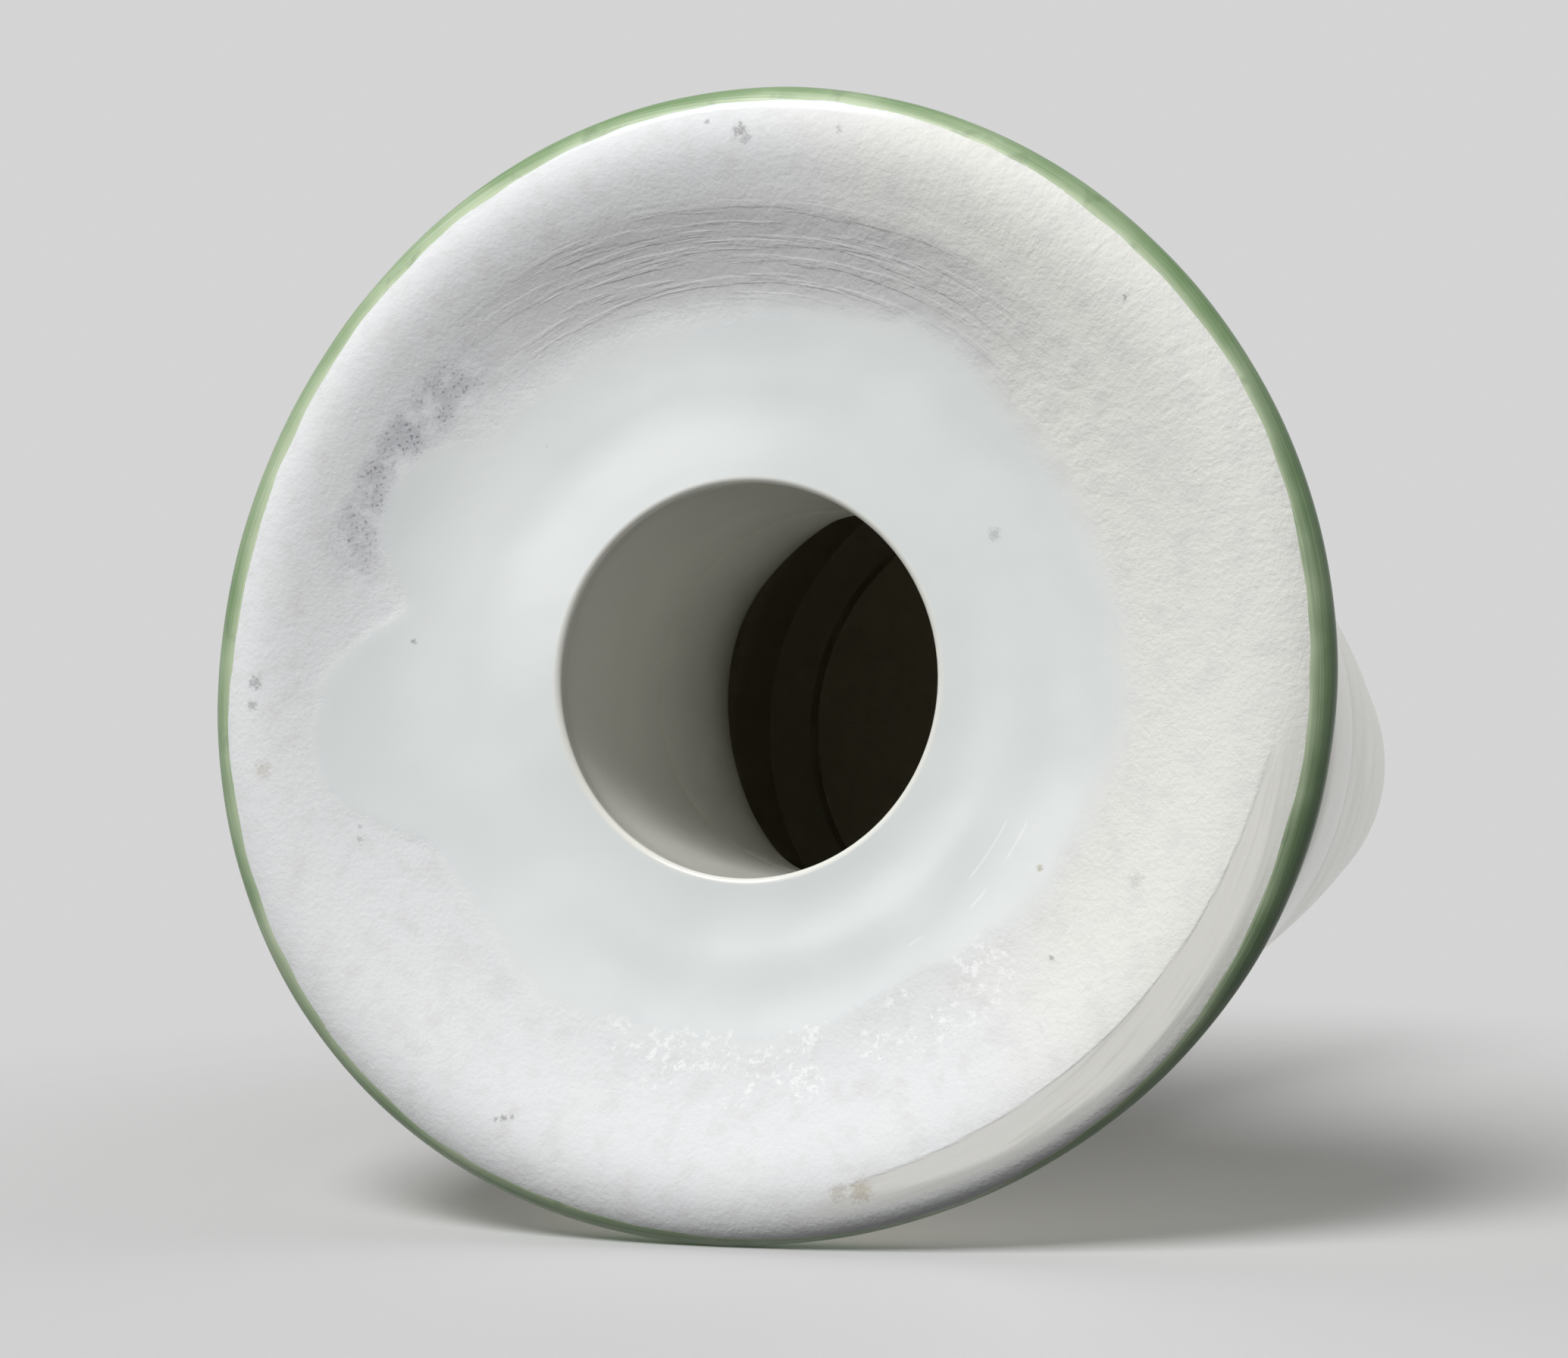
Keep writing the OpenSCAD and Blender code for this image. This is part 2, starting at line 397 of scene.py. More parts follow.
# %% [markdown]
# ## The foot
# The foot spreads from the waist to a thin rounded edge. Underneath, the dish turns up sharply from the
# standing ring, levels out and ends in a flat lip with a bead of glaze round the hole. The outline has many
# points on the underside, because that is what the camera looks at, and the glaze and the grinding need
# points to move.

# %% Foot outline
edge_t, edge_low, crest_r = 3.6, 2.0, 36.6
level_w, level_rise, sweep_h = 11, 2.4, 13  # the nearly level stretch of the foot's top, and its bend
dish_r, dish_depth, dish_rise, lip_r, lip_z, bead = 24.5, 3.4, 0.7, 0.42, 3.95, 0.25
under_mid, under_size = (crest_r, edge_low), (foot_r - crest_r, edge_low)
over_size = (edge_t - edge_low, edge_t - edge_low)
over_mid = (foot_r - over_size[0], edge_low)
lip_turn = (hole_r - bead + lip_r, lip_z + lip_r)
fall = dish_rise / (dish_r - hole_r - 1)
span = crest_r - dish_r
cone_from, cone_to = 18.6, 21.5  # radii between which the underside is a straight cone


def pool_point(radius):
    """Point on the shallow cone that the glaze lies on."""
    return (radius, dish_depth + fall * (dish_r - radius))

foot_outline = joined(
    oval(under_mid, under_size, -90, 0, 28),
    oval(over_mid, over_size, 0, 90, 14),
    bezier((over_mid[0], edge_t), (over_mid[0] - level_w, edge_t + level_rise),
           (waist_r, waist_z - sweep_h), (waist_r, waist_z), 44),
    lap_below(waist_z),
    straight((hole_r, waist_z + lap_h), (hole_r, lip_turn[1] + 2), 14),
    straight((hole_r, lip_turn[1] + 2), (hole_r - bead, lip_turn[1]), 6),
    oval(lip_turn, (lip_r, lip_r), 180, 270, 14),
    bezier((lip_turn[0], lip_z), (lip_turn[0] + 0.9, lip_z),
           pool_point(cone_from - 1.4), pool_point(cone_from), 26),
    straight(pool_point(cone_from), pool_point(cone_to), 12),
    bezier(pool_point(cone_to), pool_point(cone_to + 8.9), (crest_r - 0.28 * span, 0), (crest_r, 0), 76))
foot_mesh = turned("foot_shell", foot_outline, "foot_porcelain", segments=320)

# %% [markdown]
# ## What the kiln did to the foot
# Thin porcelain softens in the kiln. This foot came out a little off the hole's centre, with two and three
# faint lobes. The hole's edge moved by half a millimetre, its lip stands a little proud on one side, and one
# place on the foot's edge sagged. The sagged place was ground level afterwards, which left a flat crescent.
# A lattice could bend the foot by hand. One function is used instead, because it moves the foot and the
# green line on its edge by the same steps: shift, lobes, sag, and a cut at the height of the table.

# %% Warp and grinding
off_centre, hole_shift = (1.12, -0.48), (0.5, 0.28)
lobes = [(2, 0.44, math.radians(-32)), (3, 0.47, math.radians(21.4))]  # how many, how high and where
sag_angle, sag_spread, sag_depth, spring = 44, 38, 0.158, 0.09
droop_r, droop = 35.6, 0.4  # beyond this radius the sag grows by this share with each millimetre
lip_tilt, tilt_angle = 0.13, math.radians(60)
shift_ramp, hole_ramp, hole_height_ramp, edge_ramp = (18, foot_r), (15, 20), (6, 22), (26, 36)


def away(angle, middle):
    """Angle from the middle, the short way round."""
    return np.abs((angle - middle + np.pi) % (2 * np.pi) - np.pi)


def hill(angle, middle, spread, square=2):
    """1 at an angle in degrees, falling to 0 on both sides. A higher power makes its top flatter."""
    return np.exp(-(away(angle, math.radians(middle)) / math.radians(spread)) ** square)


def soft_step(value, start, end):
    t = np.clip((value - start) / (end - start), 0, 1)
    return t * t * (3 - 2 * t)


def round_axis(points):
    """Radius and angle of points."""
    return np.hypot(points[:, 0], points[:, 1]), np.arctan2(points[:, 1], points[:, 0])


def kiln_warp(points):
    """Moves points, in millimetres, and says from 0 to 1 how much the stone has touched each."""
    radius, angle = round_axis(points)
    reach = soft_step(radius, *shift_ramp)
    near_hole = (1 - soft_step(radius, *hole_ramp)) * (1 - soft_step(points[:, 2], *hole_height_ramp))
    stretch = 1 + reach / foot_r * sum(size * np.cos(count * (angle - peak)) for count, size, peak in lobes)
    sag = sag_depth * hill(angle, sag_angle, sag_spread) * (1 + droop * np.clip(radius - droop_r, 0, None))
    lowered = points[:, 2] + (spring - sag) * soft_step(radius, *edge_ramp)
    lowered = lowered + lip_tilt * np.cos(angle - tilt_angle) * near_hole
    moved = [points[:, k] * stretch + off_centre[k] * reach + hole_shift[k] * near_hole for k in (0, 1)]
    beside = (radius > crest_r) * (1 - soft_step(lowered, 0, 0.4)) * soft_step(sag - spring, 0, 0.05)
    touched = np.maximum(soft_step(-lowered, 0, 0.02), beside)
    return np.column_stack((*moved, np.maximum(lowered, 0))), touched


def points_of(mesh):
    flat = np.empty(len(mesh.vertices) * 3, np.float32)
    mesh.vertices.foreach_get("co", flat)
    return flat.reshape(-1, 3).astype(float) / MM


def set_points(mesh, points):
    mesh.vertices.foreach_set("co", (points * MM).astype(np.float32).ravel())
    mesh.update()


def keep(mesh, name, values):
    """Stores a number for each point, for the material to read."""
    mesh.attributes.new(name, "FLOAT", "POINT").data.foreach_set("value", np.asarray(values, np.float32))

even = points_of(foot_mesh)
even_radius, _ = round_axis(even)
warped, ground_off = kiln_warp(even)
set_points(foot_mesh, warped)
keep(foot_mesh, "ground", ground_off)
print("the stone touched", int((ground_off > 0.5).sum()), "of", len(even), "points")

# %% [markdown]
# ## The glaze pool under the foot
# Glaze was poured round the hole and ran outwards a little further at a few places. It is a real film, thick
# with a rounded edge on the side where it ran furthest and thin elsewhere, so the mesh itself is lifted where
# it lies. The same numbers tell the material where the gloss is, so gloss and edge always agree. The outside
# of the foot is glazed too, and on one side that glaze comes round the edge for a millimetre.

# %% Glaze film
glaze_edge, film_t, thick_from, thick_to = 25.3, 0.06, 135, 225
glaze_runs = [  # middle in degrees, how much further in mm, spread in degrees, how square its end is
    (172.5, 5.6, 15.5, 4), (208, 3.6, 12, 3), (302, 2.4, 16, 2),
    (5, 2.4, 36, 2), (122, 0.9, 14, 2), (95, 0.6, 14, 2)]
rim_glaze_r, rim_from, rim_to = 38.3, 140, 300


def glaze_reach(angle):
    """Radius at which the pool ends, in millimetres, at an angle in radians."""
    reach = np.full_like(angle, glaze_edge)
    for middle, further, spread, square in glaze_runs:
        reach += further * hill(angle, middle, spread, square)
    for i, a in enumerate(angle):
        around = Vector((math.cos(a), math.sin(a), 0.3))
        reach[i] += 0.9 * noise.noise(around * 3.0) + 0.4 * noise.noise(around * 11.0)
    return reach


def part_of_turn(angle, start, end, soft=25):
    """1 between two angles in degrees and 0 outside them, with soft ends inside."""
    off, half = away(angle, math.radians((start + end) / 2)), (end - start) / 2
    return 1 - soft_step(off, math.radians(half - soft), math.radians(half))


def lay_glaze(mesh):
    """Lifts the mesh where glaze lies, and stores where it is. The thick side has the steeper edge."""
    points = points_of(mesh)
    normals = np.empty(len(points) * 3, np.float32)
    mesh.vertex_normals.foreach_get("vector", normals)
    normals = normals.reshape(-1, 3).astype(float)
    radius, angle = round_axis(points)
    under = (normals[:, 2] < -0.15) & (points[:, 2] < 9)
    reach = glaze_reach(angle)
    thick = part_of_turn(angle, thick_from, thick_to)
    pool = 1 - soft_step(radius, reach - 1.9 + 0.8 * thick, reach + 1.7 - 0.7 * thick)
    rim = part_of_turn(angle, rim_from, rim_to)
    rim = rim * soft_step(even_radius, rim_glaze_r - 0.3, rim_glaze_r + 0.3)
    glaze = np.where(under, np.maximum(pool, rim), 1.0)
    covered = 1 - soft_step(radius, reach - 1.8 + 0.4 * thick, reach + 0.8)
    film = film_t * (0.15 + 0.85 * thick) * covered
    lift = np.where(under & (even_radius < rim_glaze_r - 0.5), film, 0.0)
    set_points(mesh, points + normals * lift[:, None])
    keep(mesh, "glaze", glaze)
    keep(mesh, "outside", soft_step(normals[:, 2], -0.1, 0.3) * (radius > hole_r + 1))
    keep(mesh, "bore", soft_step(hole_r + 0.25 - even_radius, 0.0, 0.2))
    print("glaze pool reaches", round(float(reach.min()), 1), "to", round(float(reach.max()), 1), "mm")

lay_glaze(foot_mesh)
finished("foot_shell", foot_mesh, "glazed_porcelain", "foot")

# %% [markdown]
# ## Body, neck and floor
# The rest of the vase is four more turned pieces. The neck leaves the shoulder along the shoulder's own
# lean and ends in a plain rounded lip. The floor that closes the water well has a softened edge. A coarse
# cage with subdivision could round them too, but an outline keeps the CAD solids' own curves. The hollow of
# the lower body is not quite round or central, as slip that drained from a mould leaves it, and that sets
# the shape of the dark opening that shows through the hole.

# %% Lower body, upper body, neck and well floor
floor_low, floor_high = (corner.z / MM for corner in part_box("well_floor"))
floor_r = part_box("well_floor")[1].x / MM
ledge_w, ledge_h, soft_edge = 3.0, 2.5, 0.4
seat_r, ledge_top = floor_r + slip_t, floor_low - slip_t
lip_mid_r, lip_t, lip_lean = 20.0, 3.0, math.radians(-5)
lip_mid = (lip_mid_r, height - lip_t / 2)
neck_lean = -(belly_r - neck_base_r) * shoulder_power / (neck_seam_z - belly_z)

lower_outline = joined(
    lap_above(waist_z)[::-1], straight((waist_r, waist_z + slip_t), (waist_r, stem_top_z), 12),
    wall_line(0, stem_top_z, body_seam_z, 70), lap_below(body_seam_z),
    wall_line(wall, body_seam_z + lap_h, floor_high, 6),
    [(seat_r, ledge_top), (seat_r - ledge_w, ledge_top), (seat_r - ledge_w, ledge_top - ledge_h)],
    wall_line(wall, ledge_top - ledge_h - ledge_w, stem_top_z, 60))
upper_outline = joined(
    lap_above(body_seam_z)[::-1], wall_line(0, body_seam_z + slip_t, neck_seam_z, 70),
    lap_below(neck_seam_z), wall_line(wall, neck_seam_z + lap_h, body_seam_z + lap_h + slip_t, 60))


def neck_face(low, high):
    reach = (high[1] - low[1]) / 3
    return bezier(low, (low[0] + reach * neck_lean, low[1] + reach),
                  (high[0] - reach * math.tan(lip_lean), high[1] - reach), high, 32)

lip_way = (lip_t / 2 * math.cos(lip_lean), -lip_t / 2 * math.sin(lip_lean))
skirt = lap_above(neck_seam_z)
neck_outline = joined(
    skirt[::-1], neck_face(skirt[0], (lip_mid[0] + lip_way[0], lip_mid[1] + lip_way[1])),
    oval(lip_mid, (lip_t / 2, lip_t / 2), 5, 185, 36),
    neck_face(skirt[-1], (lip_mid[0] - lip_way[0], lip_mid[1] - lip_way[1]))[::-1])
flat_r = floor_r - soft_edge
floor_outline = joined(
    [(0.0, floor_low)], straight((1.0, floor_low), (flat_r, floor_low), 20),
    oval((flat_r, floor_low + soft_edge), (soft_edge, soft_edge), -90, 0, 6),
    oval((flat_r, floor_high - soft_edge), (soft_edge, soft_edge), 0, 90, 6),
    straight((flat_r, floor_high), (1.0, floor_high), 20), [(0.0, floor_high)])

hollow_shift, hollow_oval, oval_angle = (-0.78, 0.36), 1.3, math.radians(80)
hollow_bulges = [(1.4, 287, 24), (-0.7, 236, 24)]  # size in mm, middle and spread in degrees
hollow_start, hollow_end = (28, 46), (80, 92)  # heights between which the hollow's shape comes and goes


def drained_hollow(mesh):
    """Moves the stem's inner skin: a small shift, and an oval that is nearly upright in the picture."""
    points = points_of(mesh)
    radius, angle = round_axis(points)
    inside = radius < np.array([outer_r(z) - wall / 2 for z in points[:, 2]])
    share = inside * soft_step(points[:, 2], *hollow_start) * (1 - soft_step(points[:, 2], *hollow_end))
    wide = hollow_oval * np.cos(2 * (angle - oval_angle))
    wide += sum(size * hill(angle, middle, spread) for size, middle, spread in hollow_bulges)
    for k, shift in enumerate(hollow_shift):
        points[:, k] = points[:, k] * (1 + share * wide / radius) + shift * share
    set_points(mesh, points)
    keep(mesh, "inside", inside.astype(float))

lower_mesh = turned("lower_shell", lower_outline, "stem_glaze")
drained_hollow(lower_mesh)
finished("lower_shell", lower_mesh, "glazed_porcelain", "lower_body")
turned_piece("upper_shell", upper_outline, "cream_glaze", "glazed_porcelain", "upper_body")
turned_piece("neck_shell", neck_outline, "cream_glaze", "glazed_porcelain", "neck")
turned_piece("floor_disc", floor_outline, "bare_porcelain", "bare_porcelain", "well_floor",
             segments=192, closed=False)

# %% [markdown]
# ## Slip in the joints
# Only a hair of each slip layer reaches the outside, where it shows as a faint ring under the glaze. A line
# in the material could show that ring, but a real layer also fills the joint. The layers are turned from the
# two lap lines that they lie between.

# %% Luting layers
def slip_outline(z):
    return joined(lap_below(z), lap_above(z)[::-1])

for node, z in (("foot_luting", waist_z), ("body_luting", body_seam_z), ("neck_luting", neck_seam_z)):
    turned_piece(node + "_ring", slip_outline(z), "luting_slip", "luting_slip", node)
floor_slip = joined([(seat_r - ledge_w, ledge_top), (seat_r, ledge_top), (seat_r, floor_high),
                     (seat_r - slip_t, floor_high), (seat_r - slip_t, floor_low),
                     (seat_r - ledge_w, floor_low)])
turned_piece("floor_luting_ring", floor_slip, "luting_slip", "luting_slip", "floor_luting", segments=192)

# %% [markdown]
# ## The brushed enamel lines
# A liner brush drew the green line while the foot turned on a wheel. The film is thin, its two edges waver,
# and it runs wider where the brush was reloaded. A ring of points is built directly, because both edges
# change from step to step: the outer skin runs from edge to edge with a crowned thickness, and the inner
# skin closes it just below the porcelain. How thick the film is at each point goes to the material.

# %% Brushed rings
def ring_mesh(name, skins):
    """A closed ring from a grid of points, in millimetres, that wraps round both ways."""
    rows, columns = skins.shape[:2]
    faces = [(i * columns + j, i * columns + (j + 1) % columns,
              (i + 1) % rows * columns + (j + 1) % columns, (i + 1) % rows * columns + j)
             for i in range(rows) for j in range(columns)]
    mesh = bpy.data.meshes.new(name)
    mesh.from_pydata((skins.reshape(-1, 3) * MM).tolist(), [], faces)
    return mesh


def waver(turn, size, seed):
    around = Vector((math.cos(turn), math.sin(turn), 0.0)) * size
    return noise.noise(around + Vector((0, 0, seed)))


def shaky(turn, degrees, slow, seed, quick=14.0):
    """An edge that a hand drew: it drifts slowly and trembles quickly about an angle."""
    return degrees + slow * waver(turn, 2.5, seed) + 3 * waver(turn, quick, seed + 1)


def brushed_line(name, face, low_edge, high_edge, film, rows=26, columns=720):
    """A film on a face that is given as point and normal for an angle. The edges are given for each turn."""
    outer, inner, body = (np.zeros((rows, columns, k)) for k in (3, 3, 1))
    for j in range(columns):
        turn = 2 * math.pi * j / columns
        low, high = low_edge(turn), high_edge(turn)
        for i in range(rows):
            u = i / (rows - 1)
            (r, z), (nr, nz) = face(low + (high - low) * u)
            crown = min(1.0, 4 * u * (1 - u)) ** 0.7
            thick = film * crown * (0.75 + 0.5 * waver(turn, 6.0, 7.0 + 3 * u))
            for skin, lift in ((outer, thick), (inner, -0.04)):
                lifted = r + nr * lift
                skin[i, j] = (lifted * math.cos(turn), lifted * math.sin(turn), z + nz * lift)
            body[i, j] = crown
    mesh = ring_mesh(name, np.concatenate((outer, inner[::-1])))
    keep(mesh, "film", np.concatenate((body, body[::-1])).ravel())
    mesh.materials.append(finishes["green_enamel"])
    return mesh


def edge_face(degrees):
    """Point and normal on the foot's edge, from under it at -90 degrees to over it at 90."""
    a = math.radians(degrees)
    middle, size = (under_mid, under_size) if degrees < 0 else (over_mid, over_size)
    slope = Vector((math.cos(a) / size[0], math.sin(a) / size[1])).normalized()
    return (middle[0] + size[0] * math.cos(a), middle[1] + size[1] * math.sin(a)), slope

wider_places = [  # how much further the line reaches, middle and spread, all in degrees
    (7, 309, 11), (9, 238, 30), (7, 5, 30), (15, 185, 42), (-27, 68, 24)]


def foot_line_low(turn):
    further = sum(size * hill(turn, middle, spread) for size, middle, spread in wider_places)
    return shaky(turn, -47 - further, 5, 1.0)

line_mesh = brushed_line(
    "foot_line", edge_face, foot_line_low, lambda turn: shaky(turn, 70, 6, 3.0), film=0.07)
line_points, _ = kiln_warp(points_of(line_mesh))
set_points(line_mesh, line_points)
settle(line_mesh)
finished("foot_line", line_mesh, "green_enamel", "foot_edge_line")
print("foot line:", len(line_mesh.polygons), "faces")

# %% [markdown]
# ## The line on the lip
# The same brush went round the rounded lip of the mouth. A colour on the lip's own mesh could show that
# line, but a film of its own stays a separate piece, as on the foot. The same function draws it, and only
# the face that it lies on and its two edges are new.

# %% Line on the lip
def lip_face(degrees):
    a = math.radians(degrees)
    way = (math.cos(a), math.sin(a))
    return (lip_mid[0] + lip_t / 2 * way[0], lip_mid[1] + lip_t / 2 * way[1]), way

mouth_mesh = brushed_line(
    "mouth_line", lip_face, lambda turn: shaky(turn, 32, 6, 5.0, quick=12.0),
    lambda turn: shaky(turn, 148, 6, 8.0, quick=12.0), film=0.06, rows=18, columns=480)
settle(mouth_mesh)
finished("mouth_line", mouth_mesh, "green_enamel", "mouth_edge_line")
print("mouth line:", len(mouth_mesh.polygons), "faces")

# %% [markdown]
# ## Shared effects for the finishes
# Four effects come back in several materials, so each is a node group with its own inputs. Image textures
# could hold them, but noise nodes stay sharp at any distance and need no unwrapping. The first group gives
# the place on a turned face in millimetres, and the other three build on it.

# %% Place on a turned face
def shader_group(name, inputs, outputs):
    tree = bpy.data.node_groups.new(name, "ShaderNodeTree")
    return (tree, *interface(tree, inputs, outputs))


def build_turned_place():
    tree, _, end = shader_group("Turned place", [], [
        ("Spot", "Vector"), ("Radius", "Float"), ("Height", "Float"), ("Around", "Vector")])
    seen = place(tree, "ShaderNodeTexCoord").outputs["Object"]
    spot = place(tree, "ShaderNodeVectorMath", {"operation": "SCALE"}, Vector=seen, Scale=1 / MM).outputs[0]
    axes = place(tree, "ShaderNodeSeparateXYZ", Vector=spot)
    flat = place(tree, "ShaderNodeCombineXYZ", X=axes.outputs["X"], Y=axes.outputs["Y"]).outputs[0]
    give(tree, end, Spot=spot, Radius=vector(tree, "LENGTH", flat, gives="Value"),
         Height=axes.outputs["Z"], Around=vector(tree, "NORMALIZE", flat))
    return tree


def use(tree, group, **inputs):
    """Places a shader group in a tree."""
    return place(tree, "ShaderNodeGroup", {"node_tree": group}, **inputs).outputs

turned_place = build_turned_place()
print("group", turned_place.name)

# %% [markdown]
# ## Fired grain
# Unglazed porcelain feels like fine paper: small pebbles with softer lumps under them. Moving the mesh for
# that would take millions of faces, so noise gives a relief and a few flecks instead. A seed on a fourth
# axis keeps two finishes from having the same pattern.

# %% Fired grain
def build_fired_grain():
    tree, start, end = shader_group("Fired grain", [("Grain size", "Float", 0.35), ("Seed", "Float", 0.0)],
                                    [("Relief", "Float"), ("Fleck", "Float"), ("Cloud", "Float")])
    spot = use(tree, turned_place)["Spot"]
    size = start.outputs["Grain size"]

    def seeded(scale, **inputs):
        return place(tree, "ShaderNodeTexNoise", {"noise_dimensions": "4D"}, Vector=spot,
                     W=start.outputs["Seed"], Scale=scale, **inputs).outputs[0]

    fine = seeded(calc(tree, "DIVIDE", 1.0, size), Detail=3.0, Roughness=0.6)
    lumps = seeded(calc(tree, "DIVIDE", 0.3, size), Detail=2.0)
    give(tree, end, Relief=calc(tree, "ADD", times(tree, fine, 0.6), times(tree, lumps, 0.4)),
         Fleck=fade(tree, lumps, 0.60, 0.72), Cloud=fade(tree, seeded(0.12, Detail=3.0), 0.3, 0.7))
    return tree

fired_grain = build_fired_grain()
print("group", fired_grain.name)

# %% [markdown]
# ## Glaze skin
# A poured glaze never lies quite flat. It swells slowly, gathers a shade deeper in places and has a rare
# pinhole where a bubble burst. Each Voronoi cell may have one pinhole, and a chance for each cell leaves
# most of them out, so they are rarer and less even than the dots of a noise.

# %% Glaze skin
def build_glaze_skin():
    tree, start, end = shader_group(
        "Glaze skin", [("Swell size", "Float", 5.0), ("Pin spacing", "Float", 6.0)],
        [("Relief", "Float"), ("Pinhole", "Float"), ("Pooling", "Float")])
    spot = use(tree, turned_place)["Spot"]
    swell = noisy(tree, spot, calc(tree, "DIVIDE", 1.0, start.outputs["Swell size"]), Detail=0.5)
    skin = noisy(tree, spot, 0.9, Detail=0.0)
    pins = place(tree, "ShaderNodeTexVoronoi", Vector=spot,
                 Scale=calc(tree, "DIVIDE", 1.0, start.outputs["Pin spacing"]))
    chance = place(tree, "ShaderNodeSeparateColor", Color=pins.outputs["Color"]).outputs["Red"]
    dot = fade(tree, pins.outputs["Distance"], 0.034, 0.016)
    give(tree, end, Relief=calc(tree, "ADD", times(tree, swell, 0.95), times(tree, skin, 0.05)),
         Pinhole=times(tree, dot, calc(tree, "GREATER_THAN", chance, 0.72)),
         Pooling=fade(tree, noisy(tree, spot, 0.07, Detail=2.0), 0.3, 0.7))
    return tree

glaze_skin = build_glaze_skin()
print("group", glaze_skin.name)

# %% [markdown]
# ## Turning streaks
# Tools and brushes leave streaks along the turn. A noise that is stretched along X would be right at one
# place only, so this one reads the direction round the axis and the distance along the outline. The second
# output has the two the other way about, and gives strokes across the turn.

# %% Turning streaks
def build_turning_streaks():
    tree, start, end = shader_group(
        "Turning streaks", [("Fineness", "Float", 2.5), ("Length", "Float", 5.0)],
        [("Streak", "Float"), ("Radial brush", "Float")])
    here = use(tree, turned_place)
    axes = place(tree, "ShaderNodeSeparateXYZ", Vector=here["Around"])
    profile = calc(tree, "ADD", here["Radius"], here["Height"])

    def polar(turn_scale, radial_scale):
        return place(tree, "ShaderNodeCombineXYZ", X=times(tree, axes.outputs["X"], turn_scale),
                     Y=times(tree, axes.outputs["Y"], turn_scale),
                     Z=times(tree, profile, radial_scale)).outputs[0]

    streak = polar(start.outputs["Length"], start.outputs["Fineness"])
    give(tree, end, Streak=noisy(tree, streak, 1.0, Detail=3.0, Roughness=0.55),
         Radial_brush=noisy(tree, polar(60.0, 0.5), 1.0, Detail=2.0))
    return tree

turning_streaks = build_turning_streaks()
print("group", turning_streaks.name)

# %% [markdown]
# ## The end of every finish
# Glaze, enamel and bare porcelain differ in colour, gloss and relief, and one Principled shader serves them
# all. Fine relief on the mesh itself would take far too many faces, so it is a row of Bump nodes. Each one
# feeds the next, so each keeps its own depth.

# %% Principled end of a material
def surface(material, colour, rough, *reliefs):
    """Ends a material with its shader. Each relief has its depth in millimetres and its height."""
    tree = material.node_tree
    shape = {}
    for depth, height in reliefs:
        made = place(tree, "ShaderNodeBump", Strength=1.0, Distance=depth * MM, Height=height, **shape)
        shape = {"Normal": made.outputs[0]}
    shader = place(tree, "ShaderNodeBsdfPrincipled", Base_Color=colour, Roughness=rough, IOR=1.5, **shape)
    place(tree, "ShaderNodeOutputMaterial", Surface=shader.outputs[0])
    print(f"{material.name}: {len(tree.nodes)} nodes")


def attribute(tree, name):
    return place(tree, "ShaderNodeAttribute", {"attribute_name": name}).outputs["Fac"]

print("surface helpers ready")

# %% [markdown]
# ## Marks of use
# A few smudges, pits and rusty specks lie on the underside, and thin arcs of painted highlight on the pool
# stand for light caught on ripple crests of the glaze. A noise would scatter them anywhere. Each one here has
# its own place, and a mask grows round that place with a ragged edge.

# %% Foot marks
grey_marks = [  # radius, angle, size and strength of smudges, pits and specks on the underside
    (37.4, 272.1, 0.55, 0.50), (36.9, 272.7, 0.40, 0.40), (35.1, 179.8, 0.55, 0.45),
    (35.4, 177.2, 0.38, 0.40), (29.9, 157.8, 0.25, 0.30), (29.6, 159.4, 0.20, 0.28),
    (24.3, 186.7, 0.20, 0.50), (20.6, 333.2, 0.45, 0.30), (37.2, 319.2, 0.24, 0.55),
    (34.5, 117.3, 0.26, 0.50), (34.8, 118.1, 0.18, 0.45), (34.1, 116.5, 0.18, 0.40),
    (29.6, 40.5, 0.22, 0.50), (31.7, 26.4, 0.60, 0.16), (38.2, 268.5, 0.22, 0.45),
    (37.9, 283.0, 0.25, 0.40)]
brown_marks = [
    (35.0, 169.6, 0.70, 0.25), (25.3, 31.7, 0.24, 0.55), (36.2, 74.0, 0.80, 0.40), (35.9, 76.5, 0.70, 0.30)]
# Thin arcs on the pool where a painted highlight stands for light on ripple crests
ripple_highlights = [(21.7, 27.0, 41.0), (23.0, 25.6, 34.5), (23.1, 39.0, 44.5), (22.3, 53.0, 57.0)]  # radius, from, to


def polar_point(radius, degrees):
    a = math.radians(degrees)
    return (radius * math.cos(a), radius * math.sin(a), 0.0)


def turn_window(tree, around, middle, half, soft):
    """1 near an angle and 0 away from it, from the direction on the turned face."""
    facing = vector(tree, "DOT_PRODUCT", around, polar_point(1.0, middle), gives="Value")
    limits = (math.cos(math.radians(off)) for off in (half + soft, max(half - soft, 0)))
    return fade(tree, facing, *limits)


def strongest(tree, masks):
    total = masks[0]
    for mask in masks[1:]:
        total = calc(tree, "MAXIMUM", total, mask)
    return total


def mark_mask(tree, spot, marks):
    """One mask for a list of marks. A noise of half a millimetre bends their edges."""
    flat = vector(tree, "MULTIPLY", spot, (1, 1, 0))
    ragged = calc(tree, "SUBTRACT", noisy(tree, spot, 4.0, Detail=3.0, Roughness=0.65), 0.5)
    masks = []
    for radius, degrees, size, strength in marks:
        gap = vector(tree, "DISTANCE", flat, polar_point(radius, degrees), gives="Value")
        gap = calc(tree, "MULTIPLY_ADD", ragged, size * 3.2, gap)
        masks.append(times(tree, fade(tree, gap, size * 1.25, size * 0.25), strength))
    return strongest(tree, masks)


# Mask for the painted ripple highlights on the pool
def painted_ripple_mask(tree, here):
    masks = []
    for radius, start, end in ripple_highlights:
        off = calc(tree, "ABSOLUTE", calc(tree, "SUBTRACT", here["Radius"], radius))
        span = turn_window(tree, here["Around"], (start + end) / 2, (end - start) / 2 - 1, 1.0)
        masks.append(times(tree, fade(tree, off, 0.10, 0.02), span))
    return strongest(tree, masks)

